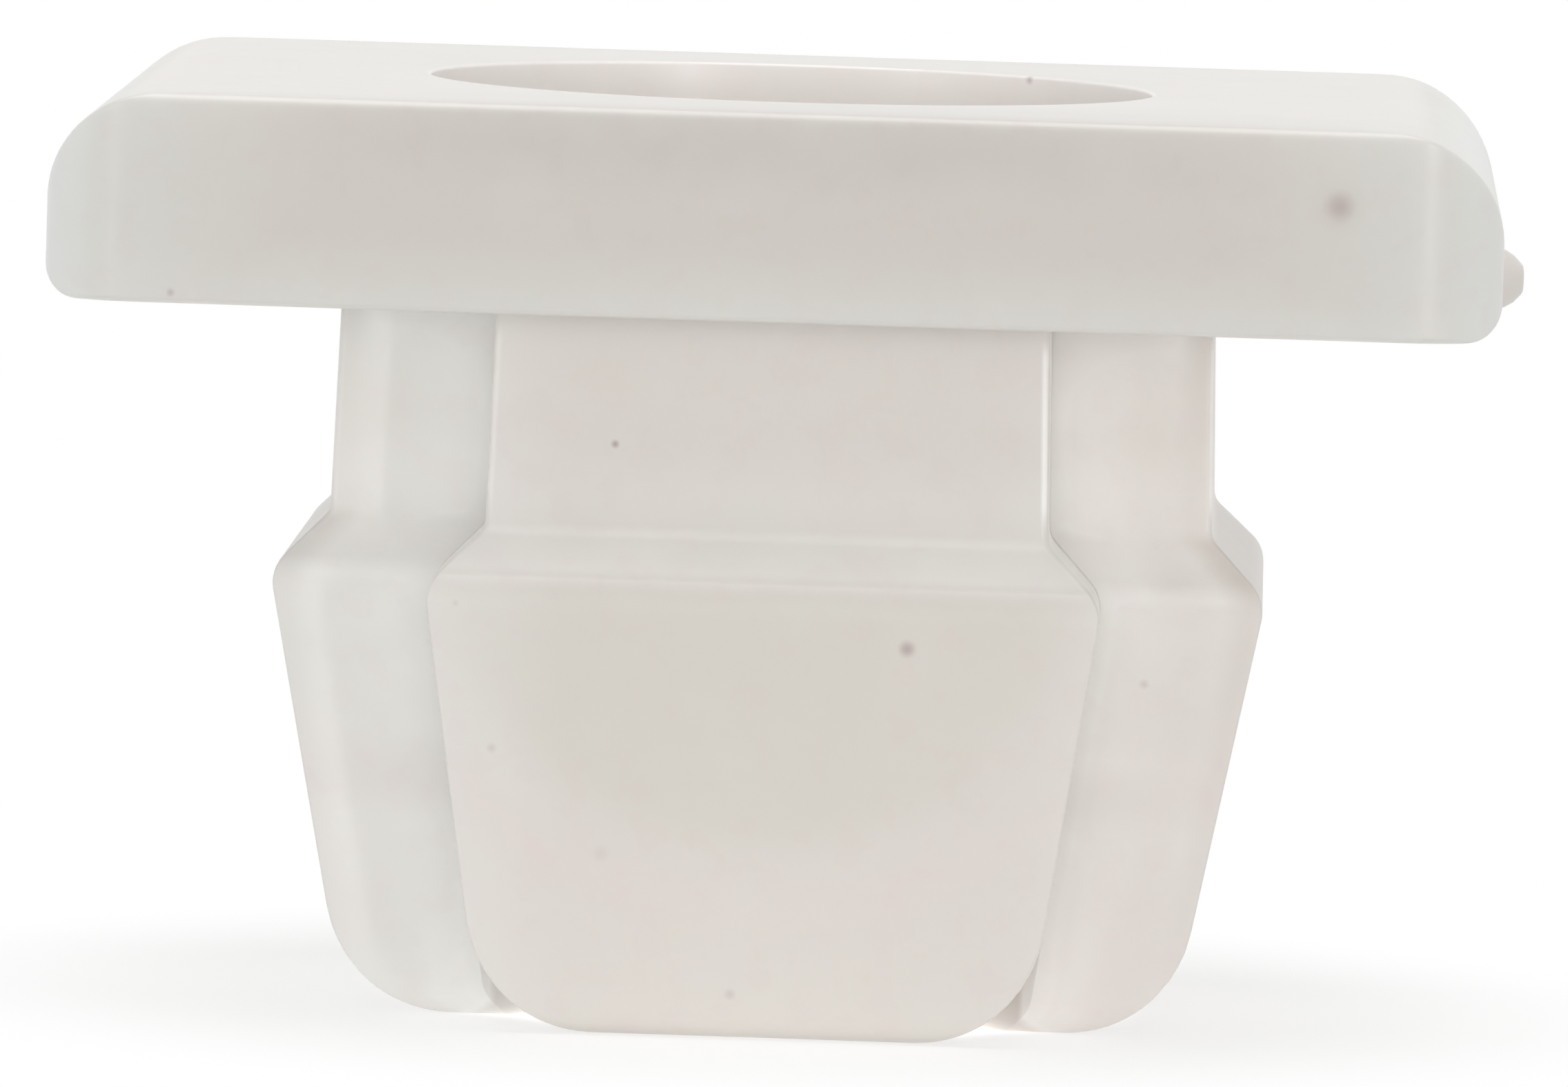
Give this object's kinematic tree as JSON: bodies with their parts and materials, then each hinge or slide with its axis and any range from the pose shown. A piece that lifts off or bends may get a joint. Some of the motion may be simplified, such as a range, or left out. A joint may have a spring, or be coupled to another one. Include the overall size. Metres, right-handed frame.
{
  "type": "square screw grommet",
  "caption": "Snap-in screw grommet for a square panel hole: flat rectangular head, notched square shank with a barb all round and tapered legs that a screw spreads.",
  "frame": {"origin": "centre of the screw hole at the head's underside, the face that lies on the panel", "axes": "+Z along the screw axis, out of the panel towards the head; +X along the long side of the head; +Y to its rear long side"},
  "size_m": [0.0163, 0.0126, 0.0104],
  "materials": {
    "nylon": "satin, natural milky white"
  },
  "bodies": {
    "head_plate": {"head_plate": "nylon"},
    "front_leg": {"front_leg": "nylon"},
    "rear_leg": {"rear_leg": "nylon"},
    "left_leg": {"left_leg": "nylon"},
    "right_leg": {"right_leg": "nylon"}
  },
  "joints": [
    {"name": "front_leg_flex", "type": "hinge", "parent": "head_plate", "child": "front_leg", "pos_m": [0, -0.00445, -0.00015], "axis": [-1, 0, 0], "range_deg": [-2.5, 4], "stiffness_Nm_per_rad": 0.2},
    {"name": "rear_leg_flex", "type": "hinge", "parent": "head_plate", "child": "rear_leg", "pos_m": [0, 0.00445, -0.00015], "axis": [1, 0, 0], "range_deg": [-2.5, 4], "stiffness_Nm_per_rad": 0.2},
    {"name": "left_leg_flex", "type": "hinge", "parent": "head_plate", "child": "left_leg", "pos_m": [-0.00445, 0, -0.00015], "axis": [0, 1, 0], "range_deg": [-2.5, 4], "stiffness_Nm_per_rad": 0.2},
    {"name": "right_leg_flex", "type": "hinge", "parent": "head_plate", "child": "right_leg", "pos_m": [0.00445, 0, -0.00015], "axis": [0, -1, 0], "range_deg": [-2.5, 4], "stiffness_Nm_per_rad": 0.2}
  ]
}
